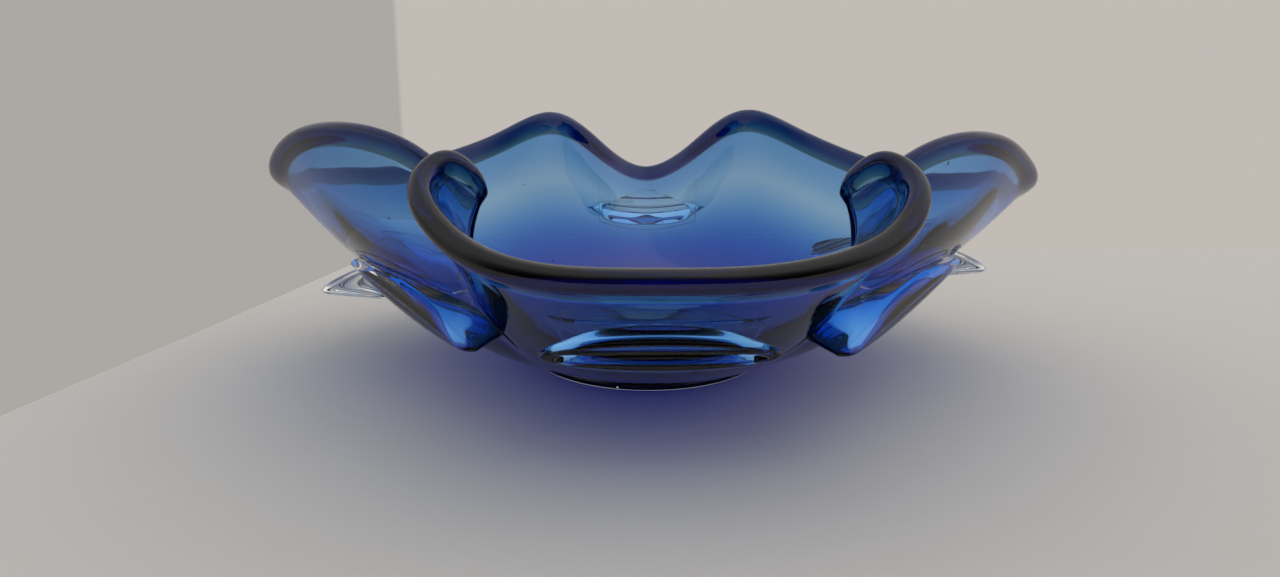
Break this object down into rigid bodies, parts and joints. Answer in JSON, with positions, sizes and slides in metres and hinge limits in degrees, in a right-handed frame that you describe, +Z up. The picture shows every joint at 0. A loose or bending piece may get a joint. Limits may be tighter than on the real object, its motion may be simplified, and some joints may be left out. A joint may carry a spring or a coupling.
{
  "type": "art glass bowl",
  "caption": "Freeform cased-glass bowl with a scalloped rim curled in at the front corners, drawn-out side scoops, pulled lugs round the lower wall and a low round foot.",
  "frame": {"origin": "on the table, under the middle of the bowl's outline", "axes": "+Z up, +X along the long way from scoop to scoop, -Y towards the front valley of the rim"},
  "size_m": [0.3022, 0.2823, 0.0998],
  "materials": {
    "clear_glass": "fire-polished, clear",
    "blue_glass": "fire-polished, transparent cobalt blue"
  },
  "bodies": {
    "root": {"clear_casing": "clear_glass", "blue_bowl": "blue_glass", "foot": "clear_glass", "lug_front": "clear_glass", "lug_front_left": "clear_glass", "lug_back_left": "clear_glass", "lug_back": "clear_glass", "lug_back_right": "clear_glass", "lug_front_right": "clear_glass"}
  },
  "joints": []
}
